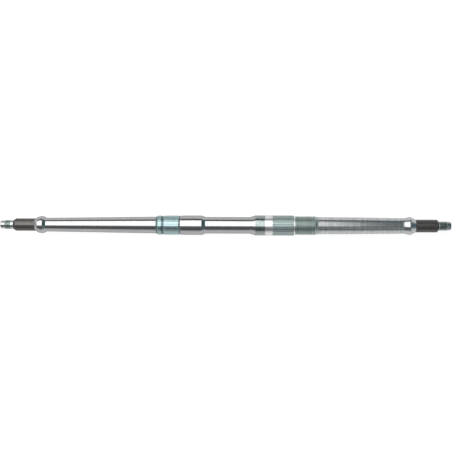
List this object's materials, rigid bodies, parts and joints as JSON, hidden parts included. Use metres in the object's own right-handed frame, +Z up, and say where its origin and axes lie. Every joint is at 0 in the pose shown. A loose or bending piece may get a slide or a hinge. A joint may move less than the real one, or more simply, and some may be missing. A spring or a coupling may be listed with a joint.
{
  "type": "stepped shaft",
  "caption": "Solid steel axle shaft with splined and threaded hub ends, end collars, two bearing journals, a grooved sprocket spline, and a brake spline followed by a lock nut thread.",
  "frame": {"origin": "middle of the shaft's length, on its axis", "axes": "+X along the shaft from the sprocket side to the brake side, +Z up, +Y to the rear"},
  "size_m": [0.89, 0.04, 0.0398],
  "materials": {
    "axle_steel": "polished bright steel"
  },
  "bodies": {
    "root": {"axle_shaft": "axle_steel"}
  },
  "joints": []
}
